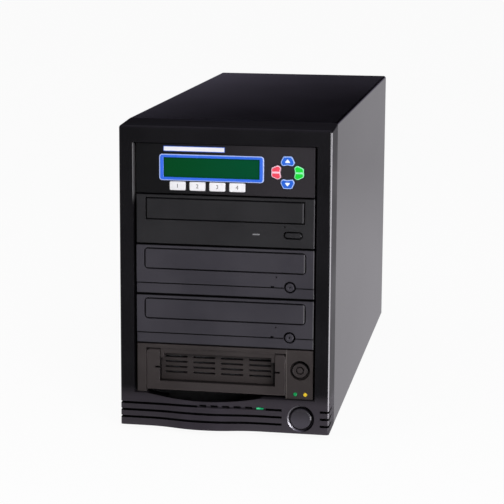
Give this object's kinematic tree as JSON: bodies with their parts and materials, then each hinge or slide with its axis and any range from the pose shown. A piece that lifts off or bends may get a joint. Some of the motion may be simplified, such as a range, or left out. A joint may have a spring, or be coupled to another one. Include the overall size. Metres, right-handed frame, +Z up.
{
  "type": "optical disc duplicator",
  "caption": "Tower disc duplicator: black steel case with a moulded front holding a display panel, stacked disc drives and a lockable removable hard-disk rack.",
  "frame": {"origin": "under the middle of the whole part, on the plane that its feet stand on", "axes": "+X to the right as seen from the front, +Y to the back, +Z up; the front faces -Y"},
  "size_m": [0.176, 0.458, 0.26],
  "materials": {
    "black_steel": "satin black paint",
    "zinc_steel": "zinc plated",
    "black_plastic": "fine grain, black",
    "drive_plastic": "fine grain, black with a violet cast",
    "rack_plastic": "dark grey, slightly brown",
    "handle_plastic": "dark grey",
    "white_key": "white",
    "blue_key": "blue",
    "red_key": "red",
    "green_key": "green",
    "blue_trim": "blue",
    "lcd_glass": "dark green",
    "lcd_body": "dark green",
    "lamp_lens": "dark clear",
    "rubber": "matt",
    "bright_steel": "plated",
    "circuit_board": "green",
    "tray_plastic": "black",
    "loader_plastic": "dark grey",
    "cast_aluminium": "cast",
    "cable": "grey",
    "fan_plastic": "black"
  },
  "bodies": {
    "case": {"chassis": "zinc_steel", "drive_cage": "zinc_steel", "wrap_cover": "black_steel", "front_bezel": "black_plastic", "rubber_feet": "rubber", "case_screws": "bright_steel", "drive_screws": "bright_steel", "power_switch": "loader_plastic", "indicator_lamps": "lamp_lens", "panel_face": "black_plastic", "panel_bracket": "zinc_steel", "lcd_surround": "blue_trim", "lcd_module": "lcd_body", "lcd_glass": "lcd_glass", "panel_board": "circuit_board", "rack_frame": "rack_plastic", "psu_case": "zinc_steel", "mains_inlet": "fan_plastic", "case_fan_frame": "fan_plastic", "wiring_loom": "cable", "reader_casing": "zinc_steel", "reader_face": "drive_plastic", "reader_loader": "loader_plastic", "writer_1_casing": "zinc_steel", "writer_1_face": "drive_plastic", "writer_1_loader": "loader_plastic", "writer_2_casing": "zinc_steel", "writer_2_face": "drive_plastic", "writer_2_loader": "loader_plastic"},
    "reader_tray": {"reader_tray": "tray_plastic", "reader_tray_door": "drive_plastic"},
    "reader_eject_button": {"reader_eject_button": "drive_plastic"},
    "reader_pickup": {"reader_pickup": "cast_aluminium"},
    "reader_spindle": {"reader_spindle": "loader_plastic"},
    "writer_1_tray": {"writer_1_tray": "tray_plastic", "writer_1_tray_door": "drive_plastic"},
    "writer_1_eject_button": {"writer_1_eject_button": "drive_plastic"},
    "writer_1_pickup": {"writer_1_pickup": "cast_aluminium"},
    "writer_1_spindle": {"writer_1_spindle": "loader_plastic"},
    "writer_2_tray": {"writer_2_tray": "tray_plastic", "writer_2_tray_door": "drive_plastic"},
    "writer_2_eject_button": {"writer_2_eject_button": "drive_plastic"},
    "writer_2_pickup": {"writer_2_pickup": "cast_aluminium"},
    "writer_2_spindle": {"writer_2_spindle": "loader_plastic"},
    "key_1": {"key_1": "white_key"},
    "key_2": {"key_2": "white_key"},
    "key_3": {"key_3": "white_key"},
    "key_4": {"key_4": "white_key"},
    "nav_up": {"nav_up": "blue_key"},
    "nav_down": {"nav_down": "blue_key"},
    "nav_left": {"nav_left": "red_key"},
    "nav_right": {"nav_right": "green_key"},
    "power_button": {"power_button": "black_plastic"},
    "rack_carrier": {"rack_carrier": "rack_plastic", "hard_disk": "cast_aluminium"},
    "rack_handle": {"rack_handle": "handle_plastic"},
    "rack_lock": {"rack_lock": "bright_steel"},
    "psu_fan": {"psu_fan": "fan_plastic"},
    "case_fan": {"case_fan_rotor": "fan_plastic"},
    "mains_rocker": {"mains_rocker": "fan_plastic"}
  },
  "joints": [
    {"name": "reader_tray_slide", "type": "slide", "parent": "case", "child": "reader_tray", "axis": [0, -1, 0], "range_m": [0, 0.14]},
    {"name": "reader_eject_button_slide", "type": "slide", "parent": "case", "child": "reader_eject_button", "axis": [0, 1, 0], "range_m": [0, 0.0012], "stiffness_N_per_m": 500},
    {"name": "reader_pickup_slide", "type": "slide", "parent": "case", "child": "reader_pickup", "axis": [0, 1, 0], "range_m": [0, 0.034]},
    {"name": "reader_spindle_turn", "type": "hinge", "parent": "case", "child": "reader_spindle", "pos_m": [0, -0.15, 0.1702], "axis": [0, 0, 1], "continuous": true},
    {"name": "writer_1_tray_slide", "type": "slide", "parent": "case", "child": "writer_1_tray", "axis": [0, -1, 0], "range_m": [0, 0.14]},
    {"name": "writer_1_eject_button_slide", "type": "slide", "parent": "case", "child": "writer_1_eject_button", "axis": [0, 1, 0], "range_m": [0, 0.0012], "stiffness_N_per_m": 500},
    {"name": "writer_1_pickup_slide", "type": "slide", "parent": "case", "child": "writer_1_pickup", "axis": [0, 1, 0], "range_m": [0, 0.034]},
    {"name": "writer_1_spindle_turn", "type": "hinge", "parent": "case", "child": "writer_1_spindle", "pos_m": [0, -0.15, 0.128], "axis": [0, 0, 1], "continuous": true},
    {"name": "writer_2_tray_slide", "type": "slide", "parent": "case", "child": "writer_2_tray", "axis": [0, -1, 0], "range_m": [0, 0.14]},
    {"name": "writer_2_eject_button_slide", "type": "slide", "parent": "case", "child": "writer_2_eject_button", "axis": [0, 1, 0], "range_m": [0, 0.0012], "stiffness_N_per_m": 500},
    {"name": "writer_2_pickup_slide", "type": "slide", "parent": "case", "child": "writer_2_pickup", "axis": [0, 1, 0], "range_m": [0, 0.034]},
    {"name": "writer_2_spindle_turn", "type": "hinge", "parent": "case", "child": "writer_2_spindle", "pos_m": [0, -0.15, 0.0858], "axis": [0, 0, 1], "continuous": true},
    {"name": "key_1_slide", "type": "slide", "parent": "case", "child": "key_1", "axis": [0, 1, 0], "range_m": [0, 0.0008], "stiffness_N_per_m": 800},
    {"name": "key_2_slide", "type": "slide", "parent": "case", "child": "key_2", "axis": [0, 1, 0], "range_m": [0, 0.0008], "stiffness_N_per_m": 800},
    {"name": "key_3_slide", "type": "slide", "parent": "case", "child": "key_3", "axis": [0, 1, 0], "range_m": [0, 0.0008], "stiffness_N_per_m": 800},
    {"name": "key_4_slide", "type": "slide", "parent": "case", "child": "key_4", "axis": [0, 1, 0], "range_m": [0, 0.0008], "stiffness_N_per_m": 800},
    {"name": "nav_up_slide", "type": "slide", "parent": "case", "child": "nav_up", "axis": [0, 1, 0], "range_m": [0, 0.0008], "stiffness_N_per_m": 800},
    {"name": "nav_down_slide", "type": "slide", "parent": "case", "child": "nav_down", "axis": [0, 1, 0], "range_m": [0, 0.0008], "stiffness_N_per_m": 800},
    {"name": "nav_left_slide", "type": "slide", "parent": "case", "child": "nav_left", "axis": [0, 1, 0], "range_m": [0, 0.0008], "stiffness_N_per_m": 800},
    {"name": "nav_right_slide", "type": "slide", "parent": "case", "child": "nav_right", "axis": [0, 1, 0], "range_m": [0, 0.0008], "stiffness_N_per_m": 800},
    {"name": "power_button_slide", "type": "slide", "parent": "case", "child": "power_button", "axis": [0, 1, 0], "range_m": [0, 0.003], "stiffness_N_per_m": 400},
    {"name": "rack_carrier_slide", "type": "slide", "parent": "case", "child": "rack_carrier", "axis": [0, -1, 0], "range_m": [0, 0.17]},
    {"name": "rack_handle_turn", "type": "hinge", "parent": "rack_carrier", "child": "rack_handle", "pos_m": [0, -0.217, 0.06745], "axis": [-1, 0, 0], "range_deg": [0, 90]},
    {"name": "rack_lock_turn", "type": "hinge", "parent": "case", "child": "rack_lock", "pos_m": [0.0633, -0.211, 0.0582], "axis": [0, 1, 0], "range_deg": [0, 90]},
    {"name": "psu_fan_turn", "type": "hinge", "parent": "case", "child": "psu_fan", "pos_m": [-0.026, 0.215, 0.049], "axis": [0, 1, 0], "continuous": true},
    {"name": "case_fan_turn", "type": "hinge", "parent": "case", "child": "case_fan", "pos_m": [0, 0.21, 0.152], "axis": [0, 1, 0], "continuous": true},
    {"name": "mains_rocker_turn", "type": "hinge", "parent": "case", "child": "mains_rocker", "pos_m": [0.046, 0.22, 0.062], "axis": [1, 0, 0], "range_deg": [0, 20]}
  ]
}
